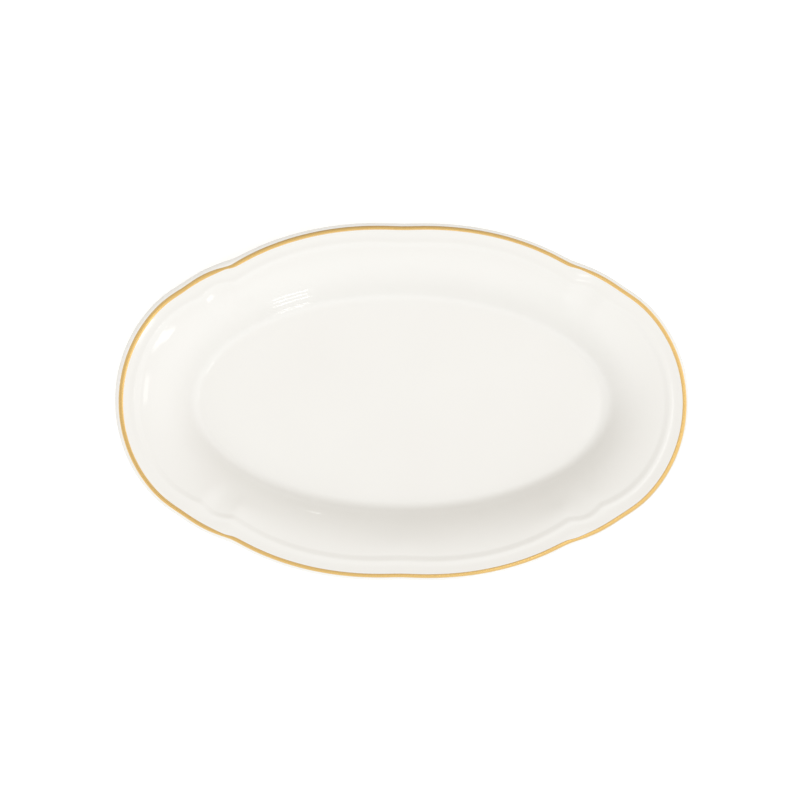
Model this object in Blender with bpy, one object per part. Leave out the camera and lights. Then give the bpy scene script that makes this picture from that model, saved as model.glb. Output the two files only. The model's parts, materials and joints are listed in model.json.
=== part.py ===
"""Scalloped oval serving platter in glazed china with a gold line round its rim.

+X runs along the dish, +Z is up, and the origin is on the table under the middle of the dish.
The fired body, its two coats of glaze and the gold line are four solids that nest in each other.
A place on the dish is given by a turn round its oval and an inset from its outer edge, both of
which spot() turns into x and y. Sizes are in millimetres and become metres in loft().
"""

from collections import namedtuple

import bmesh
import bpy
import numpy as np

MM = 0.001

# The mean oval that the scalloped edge swings about, and the flat oval floor of the well.
OVAL_A = 152.1
OVAL_B = 95.0
WELL_A = 107.6
WELL_B = 53.3
WELL_INSET = OVAL_B - WELL_B

# Heights above the table.
CREST_HEIGHT = 24.5
FLOOR_HEIGHT = 7.0
RECESS_HEIGHT = 2.6
WIPED_HEIGHT = 0.6

# The border: a lip, a shallow cove, a flat bead and a small step down to the verge.
LIP_RADIUS = 1.8
COVE_DEPTH = 0.75
BEAD_INSET = 7.6
STEP_TOP = 8.9
STEP_FOOT = 12.2
STEP_DROP = 0.8

# The verge is the sloping wall: its slope at the step, as a share of the steepest, the power with
# which the slope grows, and how far down it is steepest.
FIRST_SLOPE = 0.12
SLOPE_GROWTH = 1.4
STEEPEST = 0.78

# The back of the dish and its foot ring.
BACK_START = 8.5
BACK_DIP = 0.7
BACK_END = 40.9
FOOT_OUTER_TOP = 42.4
FOOT_OUTER = 42.7
FOOT_INNER = 45.9
FOOT_INNER_TOP = 46.2

# Coats and the room left between one solid and the next.
GLAZE = 0.35
GAP = 0.3
GOLD_NEAR = 1.8
GOLD_FAR = 3.8
GOLD_THICK = 0.2

# Swing of the outline about the mean oval, one quarter of the way round: an end lobe with a flat
# tip and a shoulder, a small bump between two notches, and a side lobe. Angles are in degrees,
# swings in millimetres, and a fall is in millimetres per degree squared.
Lobes = namedtuple("Lobes", "tip shoulder end_fall bump bump_at bump_fall side side_fall")
EDGE_LOBES = Lobes(0.62, 2.9, 0.0199, 1.36, 42.5, 0.02, 1.31, 0.0064)
STEP_LOBES = Lobes(-0.46, 1.65, 0.0228, 0.09, 45.9, 0.131, 0.44, 0.0079)
SHOULDER_AT = 30.6
SIDE_AT = 72.9
MIDDLE_ROUNDING = 2.0
NOTCH_SHARPNESS = 1.6
LOBES_FADE = 28.0

# The groove that runs down the verge from each bump, and the ridge from the middle of each side.
GROOVE_AT = 46.0
GROOVE_HALF = 3.5
GROOVE_DEPTH = 0.5
GROOVE_START = 7.0
GROOVE_FADE = 33.0
RIDGE_HALF = 4.5
RIDGE_RISE = 0.3
RIDGE_FADE = 26.0

# Turns of one quarter of the oval, closest together where the outline bends most.
QUARTER_TURNS = (0, 10, 19, 25.5, 30.5, 35.5, 40, 43, 46, 49, 52.5, 57, 62, 68, 74, 80, 86)


def all_turns():
    """Turns round the whole oval, in radians, mirrored from the first quarter."""
    first = np.array(QUARTER_TURNS)
    second = np.append(90.0, 180.0 - first[:0:-1])
    half = np.concatenate([first, second])
    return np.radians(np.concatenate([half, half + 180.0]))


def ease(share):
    """Smooth change from 0 to 1 as the share goes from 0 to 1."""
    share = np.clip(share, 0.0, 1.0)
    return share * share * (3.0 - 2.0 * share)


def smooth_max(*curves):
    """The largest of several curves, with the notch where two of them cross rounded off."""
    total = sum(np.exp(NOTCH_SHARPNESS * curve) for curve in curves)
    return np.log(total) / NOTCH_SHARPNESS


def swing(turn, inset):
    """How far the line at this inset stands outside its oval, in millimetres."""
    fold = np.degrees(np.arcsin(np.abs(np.sin(turn))))
    share = ease((inset - LIP_RADIUS) / (STEP_TOP - LIP_RADIUS))
    lobes = Lobes(*(a + (b - a) * share for a, b in zip(EDGE_LOBES, STEP_LOBES)))

    rise = (fold / SHOULDER_AT) ** 2
    near_tip = lobes.tip + (lobes.shoulder - lobes.tip) * rise * (2.0 - rise)
    past_shoulder = lobes.shoulder - lobes.end_fall * (fold - SHOULDER_AT) ** 2
    end = np.where(fold < SHOULDER_AT, near_tip, past_shoulder)
    bump = lobes.bump - lobes.bump_fall * (fold - lobes.bump_at) ** 2
    from_middle = np.hypot(90.0 - fold, MIDDLE_ROUNDING)
    side = lobes.side - lobes.side_fall * (from_middle - (90.0 - SIDE_AT)) ** 2

    fade = 1.0 - ease((inset - STEP_FOOT) / (LOBES_FADE - STEP_FOOT))
    return smooth_max(end, bump, side) * fade + creases(fold, inset)


def creases(fold, inset):
    """Swing of the sharp groove and the sharp ridge that cross the verge."""
    begin = ease((inset - STEP_TOP) / GROOVE_START)
    groove = np.clip(1.0 - np.abs(fold - GROOVE_AT) / GROOVE_HALF, 0.0, 1.0)
    groove *= 1.0 - ease((inset - STEP_FOOT) / (GROOVE_FADE - STEP_FOOT))
    ridge = np.clip(1.0 - (90.0 - fold) / RIDGE_HALF, 0.0, 1.0)
    ridge *= 1.0 - ease((inset - STEP_FOOT) / (RIDGE_FADE - STEP_FOOT))
    return begin * (GROOVE_DEPTH * groove - RIDGE_RISE * ridge)


def reach_of_well(turn, out_x, out_y):
    """Distance from the mean oval, square to it, to the oval of the well."""
    start_x = OVAL_A * np.cos(turn)
    start_y = OVAL_B * np.sin(turn)
    a = (out_x / WELL_A) ** 2 + (out_y / WELL_B) ** 2
    b = start_x * out_x / WELL_A**2 + start_y * out_y / WELL_B**2
    c = (start_x / WELL_A) ** 2 + (start_y / WELL_B) ** 2 - 1.0
    return (b - np.sqrt(b * b - a * c)) / a


def spot(turn, inset):
    """x and y of the place at this turn and inset. Past the well's edge the ovals just shrink."""
    out_x = np.cos(turn) / OVAL_A
    out_y = np.sin(turn) / OVAL_B
    length = np.hypot(out_x, out_y)
    out_x = out_x / length
    out_y = out_y / length

    reach = reach_of_well(turn, out_x, out_y)
    within = min(inset, WELL_INSET)
    stretch = (reach - STEP_FOOT) / (WELL_INSET - STEP_FOOT)
    travel = within if within <= STEP_FOOT else STEP_FOOT + (within - STEP_FOOT) * stretch
    travel = travel - swing(turn, within)
    shrink = max(inset - WELL_INSET, 0.0)
    x = (OVAL_A * np.cos(turn) - travel * out_x) * (1.0 - shrink / WELL_A)
    y = (OVAL_B * np.sin(turn) - travel * out_y) * (1.0 - shrink / WELL_B)
    return x, y


def slope_sum(share):
    """Share of a wall's whole drop reached at this share of its run.

    The slope grows with a power of the share to its steepest place, then eases off along half a
    cosine to level.
    """
    power = SLOPE_GROWTH + 1.0
    grown = np.minimum(share, STEEPEST) / STEEPEST
    upper = STEEPEST * (FIRST_SLOPE * grown + (1.0 - FIRST_SLOPE) * grown**power / power)
    rest = 1.0 - STEEPEST
    past = np.maximum(share - STEEPEST, 0.0)
    lower = (past + rest / np.pi * np.sin(np.pi * past / rest)) / 2.0
    whole = STEEPEST * (FIRST_SLOPE + (1.0 - FIRST_SLOPE) / power) + rest / 2.0
    return (upper + lower) / whole


def verge_height(inset):
    """Height of the glazed verge. The wall starts at the step's top, and the step adds its drop."""
    down = (inset - STEP_TOP) / (WELL_INSET - STEP_TOP)
    step = STEP_DROP * ease((inset - STEP_TOP) / (STEP_FOOT - STEP_TOP))
    bead_height = CREST_HEIGHT - COVE_DEPTH
    return bead_height - step - (bead_height - STEP_DROP - FLOOR_HEIGHT) * slope_sum(down)


def cove_height(inset):
    """Height of the glazed border between the lip and the bead."""
    share = np.clip((inset - LIP_RADIUS) / (BEAD_INSET - LIP_RADIUS), 0.0, 1.0)
    return CREST_HEIGHT - COVE_DEPTH * np.sin(np.pi / 2.0 * share) ** 2


def coat_profile():
    """The glazed outside, as insets and heights, from the well floor over the lip to the foot."""
    bead_height = CREST_HEIGHT - COVE_DEPTH
    down = np.array((0.0, 0.22, 0.42, 0.6, 0.74, 0.85, 0.93, 1.0))
    verge_insets = STEP_FOOT + (WELL_INSET - STEP_FOOT) * down
    verge = list(zip(verge_insets, verge_height(verge_insets)))
    border = [(STEP_TOP, bead_height), (BEAD_INSET, bead_height)]
    border += [(inset, cove_height(inset)) for inset in (5.4, GOLD_FAR)]
    lip_height = CREST_HEIGHT - LIP_RADIUS
    bends = np.radians((90.0, 135.0, 180.0, 225.0, 270.0))
    lip_insets = LIP_RADIUS + LIP_RADIUS * np.cos(bends)
    lip_heights = lip_height + LIP_RADIUS * np.sin(bends)
    back_top = lip_height - LIP_RADIUS - BACK_DIP
    down = np.array((0.0, 0.3, 0.52, 0.68, 0.8, 0.9, 1.0))
    back_insets = BACK_START + (BACK_END - BACK_START) * down
    back_heights = back_top + (RECESS_HEIGHT - back_top) * slope_sum(down)
    back = list(zip(back_insets, back_heights))
    foot = [(FOOT_OUTER_TOP, RECESS_HEIGHT), (FOOT_OUTER, WIPED_HEIGHT)]
    return np.array(verge[::-1] + border + list(zip(lip_insets, lip_heights)) + back + foot)


def sunk(profile, depth):
    """The profile moved into the dish by this depth, square to itself."""
    run = np.diff(profile, axis=0)
    run /= np.linalg.norm(run, axis=1)[:, None]
    square = np.column_stack([-run[:, 1], run[:, 0]])
    before = np.vstack([[0.0, -1.0], square])
    after = np.vstack([square, square[-1]])
    middle = before + after
    scale = 2.0 / np.sum(middle * middle, axis=1)
    return profile + depth * middle * scale[:, None]


def loft(name, profile, material, ring=False):
    """Solid whose surface carries a profile round the oval.

    An open profile starts and ends on the level middle of the dish and gets a flat cap at each
    end. A ring profile closes on itself. Each four-sided face is cut along its short diagonal,
    so that faces lying one over the other bend the same way and keep their gap.
    """
    turns = all_turns()
    columns = len(turns)
    rows = len(profile)
    points = []
    for inset, height in profile:
        x, y = spot(turns, inset)
        points += zip(x * MM, y * MM, np.full(columns, height * MM))

    faces = []
    for row in range(rows if ring else rows - 1):
        near = row * columns
        far = (row + 1) % rows * columns
        for column in range(columns):
            after = (column + 1) % columns
            faces.append((near + column, far + column, far + after, near + after))
    if not ring:
        last = (rows - 1) * columns
        faces.append(tuple(range(columns)))
        faces.append(tuple(reversed(range(last, last + columns))))

    mesh = bpy.data.meshes.new(name)
    mesh.from_pydata(points, [], faces)
    cut = bmesh.new()
    cut.from_mesh(mesh)
    bmesh.ops.triangulate(cut, faces=cut.faces[:], quad_method="SHORT_EDGE")
    cut.to_mesh(mesh)
    cut.free()
    mesh.materials.append(material)
    mesh.shade_smooth()
    mesh.set_sharp_from_angle(angle=np.radians(40.0))
    piece = bpy.data.objects.new(name, mesh)
    bpy.context.collection.objects.link(piece)
    return piece


def finish(name, colour, roughness, metallic=0.0):
    """A Principled material with one colour."""
    material = bpy.data.materials.new(name)
    material.use_nodes = True
    shader = material.node_tree.nodes["Principled BSDF"]
    shader.inputs["Base Color"].default_value = (*colour, 1.0)
    shader.inputs["Roughness"].default_value = roughness
    shader.inputs["Metallic"].default_value = metallic
    return material


def make_china_body():
    """The fired body: face, border, verge and back, in one with the bare foot ring."""
    under_glaze = GLAZE + GAP
    outside = sunk(coat_profile(), under_glaze)[:-1]
    foot = [
        (FOOT_OUTER + under_glaze, WIPED_HEIGHT),
        (FOOT_OUTER + under_glaze + 0.15, 0.0),
        (FOOT_INNER - under_glaze - 0.15, 0.0),
        (FOOT_INNER - under_glaze, WIPED_HEIGHT),
        (FOOT_INNER_TOP - under_glaze, RECESS_HEIGHT + under_glaze),
    ]
    loft("china_body", np.vstack([outside, foot]), finish("fired_china", (0.82, 0.79, 0.72), 0.6))


def make_main_glaze(glaze):
    """One unbroken coat over the face, round the lip and down the back to the foot."""
    outside = coat_profile()
    inside = sunk(outside, GLAZE)
    inside[-1, 1] = WIPED_HEIGHT
    loft("main_glaze", np.vstack([outside, inside[::-1]]), glaze)


def make_base_glaze(glaze):
    """The coat inside the foot ring, wiped back from the ring's bare bearing face."""
    low = [
        (FOOT_INNER_TOP + 0.5, RECESS_HEIGHT),
        (FOOT_INNER_TOP, RECESS_HEIGHT - 0.4),
        (FOOT_INNER, WIPED_HEIGHT),
    ]
    high = [
        (FOOT_INNER - GLAZE, WIPED_HEIGHT),
        (FOOT_INNER_TOP - GLAZE, RECESS_HEIGHT - 0.2),
        (FOOT_INNER_TOP + 0.3, RECESS_HEIGHT + GLAZE),
    ]
    loft("base_glaze", np.array(high[::-1] + low[::-1]), glaze)


def make_gold_line():
    """The fired gold line, a thin band on the crest of the border just inside the lip."""
    insets = np.array([GOLD_NEAR, (GOLD_NEAR + GOLD_FAR) / 2.0, GOLD_FAR])
    under = np.column_stack([insets, cove_height(insets) + GAP])
    over = under[::-1] + [0.0, GOLD_THICK]
    gold = finish("fired_gold", (0.80, 0.55, 0.22), 0.25, metallic=1.0)
    loft("gold_line", np.vstack([under, over]), gold, ring=True)


for old in list(bpy.data.objects):
    bpy.data.objects.remove(old)
glossy_glaze = finish("clear_glaze_on_china", (0.89, 0.88, 0.83), 0.08)
make_china_body()
make_main_glaze(glossy_glaze)
make_base_glaze(glossy_glaze)
make_gold_line()
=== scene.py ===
# %% [markdown]
# # A china platter, from its outline to its gold line
# The dish is an oval platter of white glazed china, 305 mm long. It has a scalloped edge, a moulded
# border, a sloping verge, a flat oval well and a low foot ring, and a thin line of gold just inside
# the edge. The cells below build it in the order a factory would: the outline, the section, the
# fired body, the glaze and the gold. Each surface is worked out with numpy as whole arrays.
#
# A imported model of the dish, made of plain solids, is the frame that everything here fits. It is
# loaded first, and the finer pieces then stand for its four solids.

# %% Load the frame
import json
from collections import namedtuple

import bpy
import numpy as np
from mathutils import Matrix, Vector


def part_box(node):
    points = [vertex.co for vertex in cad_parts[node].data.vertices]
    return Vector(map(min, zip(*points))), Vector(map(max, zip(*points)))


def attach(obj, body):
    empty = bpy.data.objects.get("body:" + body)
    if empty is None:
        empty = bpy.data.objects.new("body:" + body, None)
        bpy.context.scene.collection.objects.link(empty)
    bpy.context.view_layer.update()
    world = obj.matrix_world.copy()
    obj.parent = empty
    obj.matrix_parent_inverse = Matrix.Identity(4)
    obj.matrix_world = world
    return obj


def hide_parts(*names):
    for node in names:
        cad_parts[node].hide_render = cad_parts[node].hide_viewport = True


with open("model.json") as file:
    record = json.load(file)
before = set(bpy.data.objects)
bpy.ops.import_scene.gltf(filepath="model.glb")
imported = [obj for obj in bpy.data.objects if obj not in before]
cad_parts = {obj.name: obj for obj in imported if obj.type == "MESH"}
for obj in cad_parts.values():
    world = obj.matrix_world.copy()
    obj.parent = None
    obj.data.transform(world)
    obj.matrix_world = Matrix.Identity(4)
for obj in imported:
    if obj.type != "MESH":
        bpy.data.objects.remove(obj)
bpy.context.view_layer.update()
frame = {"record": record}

# %% [markdown]
# ## The camera
# A platter is best shown from straight above, where its outline is seen undistorted. A long lens a
# metre over the crest keeps the perspective gentle: the well, 17 mm lower, looks 2% smaller than it
# is. The dish lies a hair off square, as it does when it is put down by hand, so the camera is turned
# by that much and aimed a millimetre beside the middle.

# %% The camera
# The lens and the sensor are in mm as on a real camera, the turn is in radians.
MM = 0.001
LENS = 85.0
SENSOR = 36.0
FRAME_WIDTH = 425.1 * MM
CAMERA_TURN = 0.0072
AIM_X = -1.03 * MM
AIM_Y = 0.90 * MM

crest_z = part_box("main_glaze")[1][2]
camera_data = bpy.data.cameras.new("overhead_camera")
camera_data.lens = LENS
camera_data.sensor_width = SENSOR
camera = bpy.data.objects.new("overhead_camera", camera_data)
camera.location = (AIM_X, AIM_Y, crest_z + FRAME_WIDTH * LENS / SENSOR)
camera.rotation_euler = (0.0, 0.0, CAMERA_TURN)
bpy.context.scene.collection.objects.link(camera)
bpy.context.scene.camera = camera
bpy.context.scene.view_settings.view_transform = "Standard"
print("the camera is", round(camera.location.z, 3), "m above the table")

# %% [markdown]
# ## The scalloped outline
# The edge swings in and out about a plain oval. On the real dish each quarter has an end lobe with
# a flat tip and a rounded shoulder, a small bump between two notches, and a side lobe. Drawing that
# by hand as a spline would take dozens of points and would not be the same in all four quarters.
# Instead each lobe is a parabola over the turn round the oval, and the edge follows whichever
# parabola stands highest. A smooth maximum, the logarithm of a sum of exponentials, rounds the
# notch where two of them cross.

# %% The swing of the edge
# OVAL_A and OVAL_B are the half length and half width of the mean oval, in mm.
OVAL_A = 152.1
OVAL_B = 95.0
SHOULDER_AT = 30.6
SIDE_AT = 72.9
MIDDLE_ROUNDING = 2.0
NOTCH_SHARPNESS = 1.6

# Places are in degrees of turn, heights in mm, and falls in mm per degree squared.
Lobes = namedtuple("Lobes", "tip shoulder end_fall bump bump_at bump_fall side side_fall")
EDGE_LOBES = Lobes(0.62, 2.9, 0.0199, 1.36, 42.5, 0.02, 1.31, 0.0064)
STEP_LOBES = Lobes(-0.46, 1.65, 0.0228, 0.09, 45.9, 0.131, 0.44, 0.0079)


def ease(share):
    """Smooth change from 0 to 1: the square of the share times three less twice the share."""
    share = np.clip(share, 0.0, 1.0)
    return share * share * (3.0 - 2.0 * share)


def scallops(fold, border_share):
    """Swing of the lobes in mm. fold is the turn folded into one quarter, in degrees.

    It is the smooth maximum of three curves: one that rises from the tip to the shoulder and then
    falls with the square of the turn, and two parabolas about the bump and the side lobe. Each of
    their measures goes from its value at the edge to its value at the step by the border's share.
    """
    lobes = Lobes(*(a + (b - a) * border_share for a, b in zip(EDGE_LOBES, STEP_LOBES)))
    rise = (fold / SHOULDER_AT) ** 2
    near_tip = lobes.tip + (lobes.shoulder - lobes.tip) * rise * (2.0 - rise)
    past_shoulder = lobes.shoulder - lobes.end_fall * (fold - SHOULDER_AT) ** 2
    end = np.where(fold < SHOULDER_AT, near_tip, past_shoulder)
    bump = lobes.bump - lobes.bump_fall * (fold - lobes.bump_at) ** 2
    from_middle = np.hypot(90.0 - fold, MIDDLE_ROUNDING)
    side = lobes.side - lobes.side_fall * (from_middle - (90.0 - SIDE_AT)) ** 2
    total = sum(np.exp(NOTCH_SHARPNESS * curve) for curve in (end, bump, side))
    return np.log(total) / NOTCH_SHARPNESS


edge_swing = scallops(np.linspace(0.0, 90.0, 181), 0.0)
print("the edge swings from", edge_swing.min().round(2), "to", edge_swing.max().round(2), "mm")

# %% [markdown]
# ## Any place on the dish
# Two numbers name a place: the turn round the oval, and the inset from the edge. Every line of the
# border repeats the outline a little further in, with softer scallops, and they have died away
# halfway down the verge. A pressed crease runs down the verge from each bump, and a low ridge from
# the middle of each side. The well is a plain oval that is not parallel to the edge, so the verge
# is stretched between the two along lines square to the mean oval.
#
# Working in turn and inset means that one drawing of the section is enough for the whole dish.

# %% Turn and inset to x and y
# Lengths and insets are in mm, and GROOVE_AT and the two half widths in degrees of turn.
WELL_A = 107.6
WELL_B = 53.3
WELL_INSET = OVAL_B - WELL_B
LIP_INSET = 1.8
STEP_TOP = 8.9
STEP_FOOT = 12.2
LOBES_FADE = 28.0
GROOVE_AT = 46.0
GROOVE_HALF = 2.2
GROOVE_DEPTH = 0.32
GROOVE_START = 7.0
GROOVE_FADE = 33.0
RIDGE_HALF = 2.6
RIDGE_RISE = 0.26
RIDGE_FADE = 33.0
MIDDLE_INSET = 48.2


def fading(inset, end):
    """1 at the foot of the step, easing to 0 at the inset where a line has died away."""
    return 1.0 - ease((inset - STEP_FOOT) / (end - STEP_FOOT))


def swing(turn, inset):
    """How far the line at this inset stands outside its oval, in mm.

    The scallops fade down the verge. The crease is a triangle over the turn that pushes the line
    outwards, and the ridge a triangle that pulls it in; both grow from the step and fade below it.
    """
    fold = np.degrees(np.arcsin(np.abs(np.sin(turn))))
    lobes = scallops(fold, ease((inset - LIP_INSET) / (STEP_TOP - LIP_INSET)))
    groove = np.clip(1.0 - np.abs(fold - GROOVE_AT) / GROOVE_HALF, 0.0, 1.0)
    ridge = np.clip(1.0 - (90.0 - fold) / RIDGE_HALF, 0.0, 1.0)
    begin = ease((inset - STEP_TOP) / GROOVE_START)
    groove_push = GROOVE_DEPTH * groove * fading(inset, GROOVE_FADE)
    ridge_pull = RIDGE_RISE * ridge * fading(inset, RIDGE_FADE)
    return lobes * fading(inset, LOBES_FADE) + begin * (groove_push - ridge_pull)


def reach_of_well(turn, out_x, out_y):
    """Distance in mm from the mean oval, square to it, to the oval of the well.

    It is the nearer root of the quadratic that puts a point of that line on the well's oval.
    """
    start_x = OVAL_A * np.cos(turn)
    start_y = OVAL_B * np.sin(turn)
    a = (out_x / WELL_A) ** 2 + (out_y / WELL_B) ** 2
    b = start_x * out_x / WELL_A**2 + start_y * out_y / WELL_B**2
    c = (start_x / WELL_A) ** 2 + (start_y / WELL_B) ** 2 - 1.0
    return (b - np.sqrt(b * b - a * c)) / a


def place(turn, inset):
    """x and y in mm of the place at this turn and inset.

    Down to the well a place lies on the line square to the mean oval, as far along it as its inset
    says, less the swing. Inside the well the oval first shrinks evenly and then, past
    MIDDLE_INSET, scales down to the middle of the dish, which it reaches at OVAL_B.
    """
    out_x = np.cos(turn) / OVAL_A
    out_y = np.sin(turn) / OVAL_B
    length = np.hypot(out_x, out_y)
    out_x = out_x / length
    out_y = out_y / length

    reach = reach_of_well(turn, out_x, out_y)
    stretch = (reach - STEP_FOOT) / (WELL_INSET - STEP_FOOT)
    outer = np.minimum(inset, WELL_INSET)
    travel = np.minimum(outer, STEP_FOOT) + np.maximum(outer - STEP_FOOT, 0.0) * stretch
    travel = travel - swing(turn, outer)

    shrink = np.clip(inset, WELL_INSET, MIDDLE_INSET) - WELL_INSET
    scale = (OVAL_B - np.maximum(inset, MIDDLE_INSET)) / (OVAL_B - MIDDLE_INSET)
    x = (OVAL_A * np.cos(turn) - travel * out_x) * (1.0 - shrink / WELL_A) * scale
    y = (OVAL_B * np.sin(turn) - travel * out_y) * (1.0 - shrink / WELL_B) * scale
    return x, y


# %% [markdown]
# ## The section
# Cut across, the dish shows a rounded lip, a shallow cove, a flat bead, a small step, the sloping
# verge and the level well. Underneath, the back follows the verge down to the foot ring. A potter's
# profile gauge is such a curve. Here it is a list of insets and heights, worked out stretch by
# stretch from arcs and easings, so that the same section can be had coarse or fine.

# %% The upper side of the section
BEAD_INSET = 7.6
COVE_DEPTH = 0.75
STEP_DROP = 0.68
LIP_WIDE = 2.6
LIP_HIGH = 1.8
FIRST_SLOPE = 0.12
SLOPE_GROWTH = 1.4
STEEPEST = 0.78

mounts = {mount["name"]: mount for mount in frame["record"]["mounts"]}
CREST_HEIGHT = crest_z / MM
FLOOR_HEIGHT = mounts["well_floor"]["pos_m"][2] / MM
BEAD_HEIGHT = CREST_HEIGHT - COVE_DEPTH


def slope_sum(share):
    """Share of a wall's whole drop reached at this share of its run.

    The slope grows with a power of the share to its steepest place, then eases off along half a
    cosine to level. Its integral is the next power, then a straight line with half a sine on it.
    """
    power = SLOPE_GROWTH + 1.0
    grown = np.minimum(share, STEEPEST) / STEEPEST
    upper = STEEPEST * (FIRST_SLOPE * grown + (1.0 - FIRST_SLOPE) * grown**power / power)
    rest = 1.0 - STEEPEST
    past = np.maximum(share - STEEPEST, 0.0)
    lower = (past + rest / np.pi * np.sin(np.pi * past / rest)) / 2.0
    whole = STEEPEST * (FIRST_SLOPE + (1.0 - FIRST_SLOPE) / power) + rest / 2.0
    return (upper + lower) / whole


def crest_height(inset):
    """Height in mm of the glaze from the lip to the bead.

    Outside the crest it is the upper quarter of the lip's ellipse, inside it a sine squared dip
    down to the level of the bead.
    """
    outward = np.clip((LIP_WIDE - inset) / LIP_WIDE, 0.0, 1.0)
    inward = np.clip((inset - LIP_WIDE) / (BEAD_INSET - LIP_WIDE), 0.0, 1.0)
    lip_drop = LIP_HIGH * (1.0 - np.sqrt(1.0 - outward**2))
    return CREST_HEIGHT - lip_drop - COVE_DEPTH * np.sin(np.pi / 2.0 * inward) ** 2


def verge_height(inset):
    """Height in mm of the glaze from the top of the step down to the well's edge.

    The wall starts at the top of the step, and the step's own drop, an easing, is added to it.
    """
    down = (inset - STEP_TOP) / (WELL_INSET - STEP_TOP)
    step = STEP_DROP * ease((inset - STEP_TOP) / (STEP_FOOT - STEP_TOP))
    return BEAD_HEIGHT - step - (BEAD_HEIGHT - STEP_DROP - FLOOR_HEIGHT) * slope_sum(down)


# The well and the recess below it are flat, so a few rows are enough there.
FLAT_INSETS = [52.0, 62.0, 75.0, 87.0]


def stretch_of(start, end, steps):
    """Evenly spaced values from start to end, without the start, which ends the stretch before."""
    return np.linspace(start, end, steps + 1)[1:]


def upper_section(detail):
    """Insets and heights from the middle of the well up the verge and over the border to the lip."""
    past_edge = WELL_INSET + 2.0
    floor_inset = np.array([*FLAT_INSETS[::-1], MIDDLE_INSET, past_edge])
    floor = np.column_stack([floor_inset, np.full(len(floor_inset), FLOOR_HEIGHT)])

    verge_inset = np.linspace(WELL_INSET, STEP_FOOT, 8 * detail + 1)
    verge_inset = np.append(verge_inset, stretch_of(STEP_FOOT, STEP_TOP, 2 * detail))
    verge = np.column_stack([verge_inset, verge_height(verge_inset)])

    bead_inset = stretch_of(STEP_TOP, BEAD_INSET, 1)
    bead_inset = np.append(bead_inset, stretch_of(BEAD_INSET, LIP_WIDE, 3 * detail))
    bead = np.column_stack([bead_inset, crest_height(bead_inset)])

    bend = stretch_of(0.0, np.pi / 2.0, 2 * detail)
    lip_inset = LIP_WIDE * (1.0 - np.sin(bend))
    lip = np.column_stack([lip_inset, crest_height(lip_inset)])
    return np.vstack([floor, verge, bead, lip])


print("the upper side has", len(upper_section(1)), "points coarse and", len(upper_section(8)), "fine")

# %% [markdown]
# The underside of the lip comes round under the rim, and the back runs down to the foot ring, with
# a hollow curve where they meet, as a plaster mould leaves it. The glaze stops just short of the
# table, because the foot is wiped bare before firing: a glazed foot would stick to the kiln shelf.

# %% The underside of the section
RIM_BOTTOM = CREST_HEIGHT - 2.0 * LIP_HIGH
BACK_START = 8.5
BACK_DIP = 0.7
BACK_END = 40.9
RECESS_HEIGHT = 2.6
WIPED_HEIGHT = 0.6
FOOT_OUTER = 42.7
FOOT_INNER = 45.9


def under_section(detail):
    """Insets and heights from the lip under the rim and down the back to the foot's bare edge."""
    bend = stretch_of(np.pi / 2.0, 0.0, 2 * detail)
    lip = np.column_stack(
        [LIP_WIDE * (1.0 - np.sin(bend)), CREST_HEIGHT - LIP_HIGH * (1.0 + np.cos(bend))]
    )

    share = stretch_of(0.0, 1.0, detail)
    rim = np.column_stack(
        [LIP_WIDE + (BACK_START - LIP_WIDE) * share, RIM_BOTTOM - BACK_DIP * ease(share)]
    )

    share = stretch_of(0.0, 1.0, 6 * detail)
    back_top = RIM_BOTTOM - BACK_DIP
    back = np.column_stack(
        [
            BACK_START + (BACK_END - BACK_START) * share,
            back_top + (RECESS_HEIGHT - back_top) * slope_sum(share),
        ]
    )

    bend = stretch_of(0.0, np.pi / 2.0, detail)
    foot = np.column_stack(
        [
            BACK_END + (FOOT_OUTER - BACK_END) * np.sin(bend),
            WIPED_HEIGHT + (RECESS_HEIGHT - WIPED_HEIGHT) * np.cos(bend),
        ]
    )
    return np.vstack([lip, rim, back, foot])


def sunk(section, depth):
    """The section moved into the dish by this depth, square to itself, with mitred corners.

    Each point moves along the sum of its two neighbouring unit normals, by twice the depth over
    that sum's squared length.
    """
    run = np.diff(section, axis=0)
    run /= np.linalg.norm(run, axis=1)[:, None]
    square = np.column_stack([-run[:, 1], run[:, 0]])
    middle = np.vstack([square[:1], square]) + np.vstack([square, square[-1:]])
    return section + depth * middle * (2.0 / np.sum(middle * middle, axis=1))[:, None]


print("the wall is", round(BEAD_HEIGHT - RIM_BOTTOM, 2), "mm thick at the bead")

# %% [markdown]
# ## Carrying the section round
# A wheel-thrown dish would be one lathe turn. An oval one needs the section at every turn, each
# stretched its own way. With place() that is a single array step: a grid with a row for each point
# of the section and a column for each turn. Cells of the grid become the faces.

# %% Grid to mesh
COLUMNS = 720
SHARP_ANGLE = np.radians(40.0)
TURN = np.radians(np.arange(COLUMNS) * 360.0 / COLUMNS)[None, :]


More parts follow.
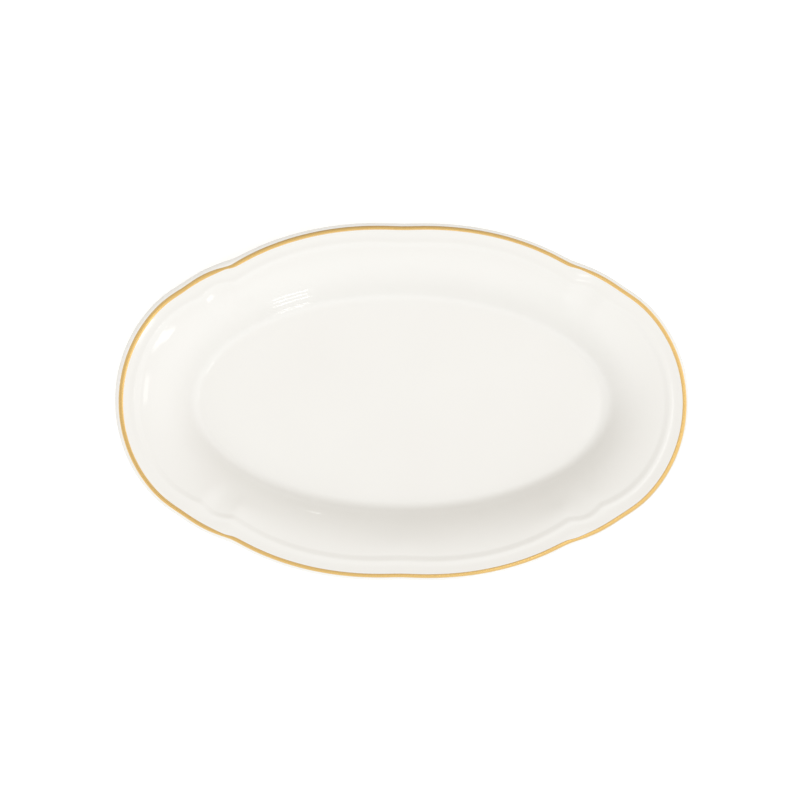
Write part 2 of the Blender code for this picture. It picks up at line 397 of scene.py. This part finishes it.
def carry(name, insets, heights, ring=False):
    """New object whose surface is a section carried round the oval.

    insets and heights have a row for each point of the section and one column, or one for each
    turn. A ring's last row joins its first. Any other section starts and ends near the middle of
    the dish, where a fan of faces about one point closes it.
    """
    x, y = place(TURN, insets)
    z = np.broadcast_to(heights, x.shape)
    points = np.stack([x, y, z], axis=-1).reshape(-1, 3) * MM
    grid = np.arange(x.size).reshape(x.shape)
    beside = np.roll(grid, -1, axis=1)
    below = np.roll(grid, -1, axis=0)
    corner = np.roll(below, -1, axis=1)
    cells = np.stack([grid, below, corner, beside], axis=-1)
    faces = (cells if ring else cells[:-1]).reshape(-1, 4).tolist()
    if not ring:
        middles = np.array([[0.0, 0.0, z[0, 0]], [0.0, 0.0, z[-1, 0]]]) * MM
        first = np.full(COLUMNS, len(points))
        faces += np.column_stack([first, grid[0], beside[0]]).tolist()
        faces += np.column_stack([first + 1, beside[-1], grid[-1]]).tolist()
        points = np.vstack([points, middles])

    mesh = bpy.data.meshes.new(name)
    mesh.from_pydata(points, [], faces)
    mesh.shade_smooth()
    mesh.set_sharp_from_angle(angle=SHARP_ANGLE)
    piece = bpy.data.objects.new(name, mesh)
    bpy.context.scene.collection.objects.link(piece)
    print(name, "has", len(mesh.polygons), "faces")
    return piece


def carry_section(name, section):
    """New object from a closed section, a list of insets and heights that starts at the middle."""
    return carry(name, section[:, :1], section[:, 1:])


# %% [markdown]
# ## The fired body
# Under the glaze is one pressed piece of white clay, fired hard. All that shows of it is the bare
# bearing face of the foot ring. Its upper and lower sides lie one coat of glaze inside the section,
# and its foot is a flattened half round, half a superellipse, that stands on the table.

# %% The fired body
GLAZE = 0.35
FOOT_FLATNESS = 3.2
COARSE = 2
FINE = 8


def foot_curve(detail):
    """Insets and heights of the bare foot, from its outer edge round to its inner edge.

    It is the lower half of a superellipse: the height falls with a high power of the distance from
    the middle of the foot, which leaves it nearly flat where it stands.
    """
    middle = (FOOT_OUTER + FOOT_INNER) / 2.0
    half = (FOOT_INNER - FOOT_OUTER) / 2.0
    across = np.sin(np.linspace(-np.pi / 2.0, np.pi / 2.0, 4 * detail + 1))
    depth = (1.0 - np.abs(across) ** FOOT_FLATNESS) ** (1.0 / FOOT_FLATNESS)
    return np.column_stack([middle + half * across, WIPED_HEIGHT * (1.0 - depth)])


def recess_section(detail):
    """Insets and heights from the foot's inner bare edge up and over the recess to the middle."""
    bend = stretch_of(np.pi / 2.0, 0.0, detail)
    fillet = RECESS_HEIGHT - WIPED_HEIGHT
    corner = np.column_stack(
        [FOOT_INNER + fillet * (1.0 - np.sin(bend)), WIPED_HEIGHT + fillet * np.cos(bend)]
    )
    past_corner = MIDDLE_INSET + 0.4
    floor_inset = np.array([past_corner, *FLAT_INSETS])
    floor = np.column_stack([floor_inset, np.full(len(floor_inset), RECESS_HEIGHT)])
    return np.vstack([corner, floor])


def make_fired_body():
    """The body: upper side, back and recess one coat inside the glaze, and the bare foot."""
    outside = sunk(np.vstack([upper_section(COARSE), under_section(COARSE)]), GLAZE)
    recess = sunk(recess_section(COARSE), GLAZE)
    foot = foot_curve(FINE)
    body = carry_section("fired_body", np.vstack([outside[:-1], foot, recess[1:]]))
    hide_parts("china_body")
    return body


fired_body = make_fired_body()

# %% [markdown]
# ## The glaze
# Glaze is glass. It goes on as a milky dip, melts in the kiln and runs into one smooth coat, a third
# of a millimetre thick. The dish wears two coats that never meet: one over the face, round the lip
# and down the back, and one inside the foot ring. Each is a closed shell: the fine outer surface is
# what the eye sees, and the inner one, a coat's depth inside it, lies on the body and can be coarse.

# %% The two coats of glaze
def make_main_glaze():
    """The coat over face, lip and back, closed by its inner surface a coat's depth below.

    The inner surface ends level with the outer one, at the edge where the foot is wiped.
    """
    outside = np.vstack([upper_section(FINE), under_section(FINE)])
    inside = sunk(np.vstack([upper_section(COARSE), under_section(COARSE)]), GLAZE)
    inside[-1, 1] = WIPED_HEIGHT
    glaze = carry_section("face_and_back_glaze", np.vstack([outside, inside[::-1]]))
    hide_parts("main_glaze")
    return glaze


def make_base_glaze():
    """The coat inside the foot ring, closed by its inner surface."""
    outside = recess_section(FINE)
    outside = np.vstack([[FOOT_INNER, WIPED_HEIGHT], outside])
    inside = sunk(np.vstack([[FOOT_INNER, WIPED_HEIGHT], recess_section(COARSE)]), GLAZE)
    inside[0, 1] = WIPED_HEIGHT
    glaze = carry_section("base_glaze_coat", np.vstack([inside[::-1], outside]))
    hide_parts("base_glaze")
    return glaze


main_glaze = make_main_glaze()
base_glaze = make_base_glaze()

# %% [markdown]
# ## The gold line
# Liquid bright gold is painted on the fired glaze with a fine brush while the dish turns on a
# banding wheel, and fired once more. The line is a film a few thousandths of a millimetre thick. A
# hand and a scalloped edge don't agree perfectly, so its width and its margin drift by a few tenths
# of a millimetre. Here a few slow waves move its middle and change its width on the way round, and
# the film is drawn thicker than it is, so that it stands clear of the glaze.

# %% The gold line
GOLD_MIDDLE = 2.7
GOLD_WIDTH = 2.25
GOLD_RISE = 0.06
GOLD_ROOT = 0.12
ACROSS_STEPS = 14

# Each wave is its size in mm, its count round the dish, and its phase in radians.
MIDDLE_WAVES = ((0.46, 1, 2.63), (0.17, 2, -0.48), (0.17, 3, 1.53))
WIDTH_WAVES = ((0.13, 1, 2.95), (0.18, 2, -0.85), (0.05, 4, 3.14))


def hand_drift(turn, waves):
    """Slow drift of a hand-painted line in mm: a sum of cosines of size, count and phase."""
    return sum(size * np.cos(count * turn - phase) for size, count, phase in waves)


def make_gold_line():
    """The gold, a ring with a rounded top that follows the crest, whose middle and width drift.

    Across the line the edge's swing would change a little and squeeze or spread it at the notches.
    Each inset gives back the difference between its own swing and the middle's, so the width holds.
    """
    middle = GOLD_MIDDLE + hand_drift(TURN, MIDDLE_WAVES)
    width = GOLD_WIDTH + hand_drift(TURN, WIDTH_WAVES)
    share = np.linspace(1.0, 0.0, ACROSS_STEPS + 1)[:, None]
    even_insets = middle + width * (share - 0.5)
    over_insets = even_insets + swing(TURN, even_insets) - swing(TURN, middle)
    bulge = np.sqrt(np.clip(1.0 - (2.0 * share - 1.0) ** 2, 0.0, 1.0))
    over_heights = crest_height(over_insets) + GOLD_RISE * bulge
    under_insets = over_insets[::-1][1:-1]
    under_heights = crest_height(under_insets) - GOLD_ROOT * bulge[1:-1]
    insets = np.vstack([over_insets, under_insets])
    heights = np.vstack([over_heights, under_heights])
    gold = carry("painted_gold_line", insets, heights, ring=True)

    across = np.vstack([share, share[::-1][1:-1]])
    drawn = np.broadcast_to(across, insets.shape).ravel()
    round_x = np.broadcast_to(np.cos(TURN), insets.shape).ravel()
    round_y = np.broadcast_to(np.sin(TURN), insets.shape).ravel()
    brushed = gold.data.attributes.new("brushed", "FLOAT_VECTOR", "POINT")
    brushed.data.foreach_set("vector", np.column_stack([round_x, round_y, drawn]).ravel())
    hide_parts("gold_line")
    return gold


gold_line = make_gold_line()

# %% [markdown]
# ## Colours and nodes
# Colours are written as sRGB hex codes, the way a paint chart gives them. The renderer works in
# linear light, so one function turns a code into linear values. A second function adds a node,
# sets its properties and fills or links its inputs, and every material below is built with it.

# %% Two helpers for materials
def linear(code):
    """Linear red, green, blue and alpha of an sRGB hex code, by the sRGB transfer curve."""
    srgb = np.array([int(code[i : i + 2], 16) for i in (1, 3, 5)]) / 255.0
    rgb = np.where(srgb <= 0.04045, srgb / 12.92, ((srgb + 0.055) / 1.055) ** 2.4)
    return (*rgb.tolist(), 1.0)


def add(tree, kind, inputs=None, **settings):
    """Adds a node with its settings. An input given as a socket is linked, any other is a value."""
    node = tree.nodes.new(kind)
    for name, value in settings.items():
        setattr(node, name, value)
    for socket, value in (inputs or {}).items():
        if isinstance(value, bpy.types.NodeSocket):
            tree.links.new(value, node.inputs[socket])
        else:
            node.inputs[socket].default_value = value
    return node


def new_finish(name):
    """A new node material, its tree and its Principled shader."""
    finish = bpy.data.materials.new(name)
    finish.use_nodes = True
    return finish, finish.node_tree, finish.node_tree.nodes["Principled BSDF"]


print("a mid grey, #808080, is", np.round(linear("#808080")[0], 3), "in linear light")

# %% [markdown]
# ## Glazed china
# White porcelain under a clear glaze: the clay scatters the light and gives the warm white, and the
# glass on top gives the gloss, with the index of glass, 1.5. Glaze is not optically flat. It keeps a
# faint swell about a centimetre long and a few microns high, which is what makes a reflection in
# china wobble, and its tone drifts slightly where the coat is thicker.

# %% Glazed china
CHINA_WHITE = "#F0EFEB"
CHINA_SHADE = "#EDEBE7"
CHINA_ROUGHNESS = (0.04, 0.09)
TONE_LENGTH = 55.0 * MM
SWELL_LENGTH = 14.0 * MM
SWELL_HEIGHT = 0.012 * MM
HAZE_LENGTH = 30.0 * MM
GLASS_INDEX = 1.5


def make_glazed_china():
    """Clear glaze on warm white china."""
    finish, tree, shader = new_finish("clear_glaze_on_white_china")
    place_on_piece = add(tree, "ShaderNodeTexCoord").outputs["Object"]
    tone = add(
        tree,
        "ShaderNodeTexNoise",
        {"Vector": place_on_piece, "Scale": 1.0 / TONE_LENGTH, "Detail": 2.0},
    )
    colour = add(
        tree,
        "ShaderNodeMix",
        {"Factor": tone.outputs["Fac"], 6: linear(CHINA_WHITE), 7: linear(CHINA_SHADE)},
        data_type="RGBA",
    )
    haze = add(
        tree,
        "ShaderNodeTexNoise",
        {"Vector": place_on_piece, "Scale": 1.0 / HAZE_LENGTH, "Detail": 3.0},
    )
    smoothest, dullest = CHINA_ROUGHNESS
    roughness = add(
        tree,
        "ShaderNodeMapRange",
        {"Value": haze.outputs["Fac"], "To Min": smoothest, "To Max": dullest},
    )
    swell = add(
        tree,
        "ShaderNodeTexNoise",
        {"Vector": place_on_piece, "Scale": 1.0 / SWELL_LENGTH, "Detail": 1.0},
    )
    relief = add(
        tree,
        "ShaderNodeBump",
        {"Height": swell.outputs["Fac"], "Distance": SWELL_HEIGHT, "Strength": 1.0},
    )
    tree.links.new(colour.outputs[2], shader.inputs["Base Color"])
    tree.links.new(roughness.outputs["Result"], shader.inputs["Roughness"])
    tree.links.new(relief.outputs["Normal"], shader.inputs["Normal"])
    shader.inputs["IOR"].default_value = GLASS_INDEX
    return finish


glazed_china = make_glazed_china()
for coat in (main_glaze, base_glaze):
    coat.data.materials.append(glazed_china)

# %% [markdown]
# ## Bare fired china
# Where the glaze is wiped off, the fired clay is dull and faintly gritty, like fine sugar. Its
# grains are a fraction of a millimetre. Standing and sliding on tables greys the highest of them.

# %% Bare fired china
BARE_CLAY = "#E6E1D3"
SCUFFED_CLAY = "#C9C4B8"
CLAY_ROUGHNESS = 0.75
GRIT_LENGTH = 0.5 * MM
GRIT_HEIGHT = 0.03 * MM
SCUFF_LENGTH = 6.0 * MM


def make_fired_china():
    """Unglazed fired china, matte with a fine grit and slight scuffs."""
    finish, tree, shader = new_finish("bare_fired_china")
    place_on_piece = add(tree, "ShaderNodeTexCoord").outputs["Object"]
    grit = add(
        tree,
        "ShaderNodeTexNoise",
        {"Vector": place_on_piece, "Scale": 1.0 / GRIT_LENGTH, "Detail": 3.0},
    )
    scuff = add(
        tree,
        "ShaderNodeTexNoise",
        {"Vector": place_on_piece, "Scale": 1.0 / SCUFF_LENGTH, "Detail": 4.0},
    )
    scuffed = add(
        tree,
        "ShaderNodeMapRange",
        {"Value": scuff.outputs["Fac"], "From Min": 0.5, "From Max": 0.75},
    )
    colour = add(
        tree,
        "ShaderNodeMix",
        {"Factor": scuffed.outputs["Result"], 6: linear(BARE_CLAY), 7: linear(SCUFFED_CLAY)},
        data_type="RGBA",
    )
    relief = add(
        tree,
        "ShaderNodeBump",
        {"Height": grit.outputs["Fac"], "Distance": GRIT_HEIGHT, "Strength": 1.0},
    )
    tree.links.new(colour.outputs[2], shader.inputs["Base Color"])
    tree.links.new(relief.outputs["Normal"], shader.inputs["Normal"])
    shader.inputs["Roughness"].default_value = CLAY_ROUGHNESS
    return finish


fired_body.data.materials.append(make_fired_china())

# %% [markdown]
# ## Bright fired gold
# Bright gold is a true metal film. Laid over glossy glaze it mirrors almost like foil, but the brush
# leaves hair-fine ridges along the line, which spread the reflection across it. Where the film is
# thin, at its two edges, the white shows through and turns it paler. The ridges are stretched noise
# on the piece's own brushed attribute: it holds the cosine and sine of the turn and the share
# across the line, so the pattern runs round the dish with no seam. Real ridges are too fine to
# show, so these are drawn a quarter of a millimetre apart.

# %% Bright fired gold
THIN_GOLD = "#E9D3A9"
DEEP_GOLD = "#CDA867"
GOLD_BANDS = ((0.2, "#DDBC7F"), (0.55, "#D8B574"), (0.85, "#DDBC7F"))
GOLD_ROUGHNESS = (0.2, 0.34)
RIDGES_ACROSS = 9.0
RIDGES_ALONG = 14.0
RIDGE_HEIGHT = 0.01 * MM


def make_fired_gold():
    """Brushed bright gold, paler at the two edges of the line."""
    finish, tree, shader = new_finish("fired_bright_gold")
    brushed = add(tree, "ShaderNodeAttribute", attribute_name="brushed").outputs["Vector"]
    stretched = add(
        tree,
        "ShaderNodeMapping",
        {"Vector": brushed, "Scale": (RIDGES_ALONG, RIDGES_ALONG, RIDGES_ACROSS)},
    ).outputs["Vector"]
    ridges = add(
        tree,
        "ShaderNodeTexNoise",
        {"Vector": stretched, "Scale": 1.0, "Detail": 3.0, "Roughness": 0.6},
    ).outputs["Fac"]
    across = add(tree, "ShaderNodeSeparateXYZ", {"Vector": brushed}).outputs["Z"]
    ramp = add(tree, "ShaderNodeValToRGB", {"Fac": across})
    stops = ramp.color_ramp.elements
    stops[0].color = linear(THIN_GOLD)
    stops[1].color = linear(THIN_GOLD)
    for position, code in GOLD_BANDS:
        stops.new(position).color = linear(code)
    tinted = add(
        tree,
        "ShaderNodeMix",
        {"Factor": ridges, 6: ramp.outputs["Color"], 7: linear(DEEP_GOLD)},
        data_type="RGBA",
    )
    smoothest, dullest = GOLD_ROUGHNESS
    roughness = add(
        tree, "ShaderNodeMapRange", {"Value": ridges, "To Min": smoothest, "To Max": dullest}
    )
    relief = add(
        tree, "ShaderNodeBump", {"Height": ridges, "Distance": RIDGE_HEIGHT, "Strength": 1.0}
    )
    tree.links.new(tinted.outputs[2], shader.inputs["Base Color"])
    tree.links.new(roughness.outputs["Result"], shader.inputs["Roughness"])
    tree.links.new(relief.outputs["Normal"], shader.inputs["Normal"])
    shader.inputs["Metallic"].default_value = 1.0
    return finish


gold_line.data.materials.append(make_fired_gold())

for piece in (fired_body, main_glaze, base_glaze, gold_line):
    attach(piece, "root")

# %% [markdown]
# ## The table and the light
# White china is lit softly, or it turns to chalk. The room is an even warm dome with broad white
# sources to the left, the right and the front, and none behind, which models the verge: its near
# side falls into a soft warm shade. The table is a plain white sweep that glows slightly, so that
# it stays white round the dish.

# %% The table
TABLE_SIZE = 12.0
TABLE_GAP = 0.1 * MM
TABLE_WHITE = "#F7F7F6"
TABLE_MOTTLE = "#F3F3F2"
MOTTLE_COUNT = 20.0
TABLE_ROUGHNESS = 0.9
TABLE_GLOW = 0.26


def make_table():
    """A plain white sweep with a faint mottle and a faint glow of its own."""
    half = TABLE_SIZE / 2.0
    mesh = bpy.data.meshes.new("table_sweep")
    corners = [(-half, -half), (half, -half), (half, half), (-half, half)]
    mesh.from_pydata([(x, y, -TABLE_GAP) for x, y in corners], [], [(0, 1, 2, 3)])
    table = bpy.data.objects.new("table_sweep", mesh)
    bpy.context.scene.collection.objects.link(table)
    finish, tree, shader = new_finish("white_sweep")
    mottle = add(tree, "ShaderNodeTexNoise", {"Scale": MOTTLE_COUNT})
    colour = add(
        tree,
        "ShaderNodeMix",
        {"Factor": mottle.outputs["Fac"], 6: linear(TABLE_WHITE), 7: linear(TABLE_MOTTLE)},
        data_type="RGBA",
    )
    tree.links.new(colour.outputs[2], shader.inputs["Base Color"])
    shader.inputs["Roughness"].default_value = TABLE_ROUGHNESS
    shader.inputs["Emission Color"].default_value = (1.0, 1.0, 1.0, 1.0)
    shader.inputs["Emission Strength"].default_value = TABLE_GLOW
    mesh.materials.append(finish)


make_table()

# %% The room
ROOM_LIGHT = 0.36
ROOM_TINT = "#FFF5E2"
SOURCE_TIGHTNESS = 4.0
# Azimuth from +X and angle from straight up, in degrees, then radiance in the middle, and tint.
BROAD_SOURCES = (
    (-73.0, 35.0, 0.42, "#F0F7FF"),
    (-73.0, 57.0, 0.58, "#F0F7FF"),
    (17.0, 47.0, 1.29, "#F8FAFF"),
    (197.0, 50.0, 1.04, "#F6F9FF"),
)


def direction(azimuth, zenith):
    """Unit vector at this azimuth from +X and this angle from straight up, both in degrees."""
    around = np.radians(azimuth)
    down = np.radians(zenith)
    flat = np.sin(down)
    return Vector((flat * np.cos(around), flat * np.sin(around), np.cos(down)))


def make_room():
    """World light: an even warm room, and broad white sources that fade out all round.

    A source's light is the cosine of the angle to its middle, raised to a power.
    """
    world = bpy.data.worlds.new("pale_room")
    world.use_nodes = True
    tree = world.node_tree
    towards = add(tree, "ShaderNodeTexCoord").outputs["Generated"]
    light = add(
        tree, "ShaderNodeBackground", {"Color": linear(ROOM_TINT), "Strength": ROOM_LIGHT}
    ).outputs["Background"]
    for azimuth, zenith, radiance, tint in BROAD_SOURCES:
        cosine = add(
            tree,
            "ShaderNodeVectorMath",
            {0: towards, 1: direction(azimuth, zenith)},
            operation="DOT_PRODUCT",
        ).outputs["Value"]
        facing = add(tree, "ShaderNodeMath", {0: cosine, 1: 0.0}, operation="MAXIMUM").outputs[0]
        spread = add(
            tree, "ShaderNodeMath", {0: facing, 1: SOURCE_TIGHTNESS}, operation="POWER"
        ).outputs[0]
        strength = add(
            tree, "ShaderNodeMath", {0: spread, 1: radiance}, operation="MULTIPLY"
        ).outputs[0]
        source = add(tree, "ShaderNodeBackground", {"Color": linear(tint), "Strength": strength})
        light = add(
            tree, "ShaderNodeAddShader", {0: light, 1: source.outputs["Background"]}
        ).outputs["Shader"]
    tree.links.new(light, tree.nodes["World Output"].inputs["Surface"])
    bpy.context.scene.world = world


make_room()
print("the room has", len(BROAD_SOURCES), "broad sources")

# %% [markdown]
# A glossy dish shows its lights as small bright shapes. Two strips almost overhead, one a little
# to the front and one a little to the right, give the soft patches at the left end of the border.
# A small low lamp behind gives the spark on the front of the verge. Three narrow slats, low in
# front, give the streaks on the back of the verge, as the gaps of a blind would. All of them are
# small, so they say gloss and add hardly any light.

# %% The softboxes
# Name, then azimuth from +X and angle from straight up in degrees, distance, width and height in
# metres, and radiance.
SOFTBOXES = (
    ("high_strip", -55.0, 12.5, 1.8, 0.1, 0.26, 3.6),
    ("side_strip", -9.0, 12.5, 1.8, 0.15, 0.2, 2.0),
    ("far_lamp", 80.0, 73.0, 2.0, 0.04, 0.05, 8.0),
)
SLATS = 3
FIRST_SLAT = ("low_slat", -76.0, 70.5, 2.0, 0.2, 0.025, 14.0)
SLAT_PITCH = 5.5


def make_softbox(name, azimuth, zenith, distance, width, height, radiance):
    """A rectangular soft light that faces the dish, tall along its line to the zenith.

    Its power is its radiance times pi times its area.
    """
    light = bpy.data.lights.new(name, "AREA")
    light.shape = "RECTANGLE"
    light.size = width
    light.size_y = height
    light.energy = radiance * np.pi * width * height
    lamp = bpy.data.objects.new(name, light)
    away = direction(azimuth, zenith)
    lamp.location = away * distance
    lamp.rotation_euler = away.to_track_quat("Z", "Y").to_euler()
    bpy.context.scene.collection.objects.link(lamp)


for softbox in SOFTBOXES:
    make_softbox(*softbox)
for slat in range(SLATS):
    name, azimuth, zenith, *measures = FIRST_SLAT
    make_softbox(f"{name}_{slat}", azimuth, zenith + SLAT_PITCH * slat, *measures)
print("there are", len(SOFTBOXES) + SLATS, "softboxes")
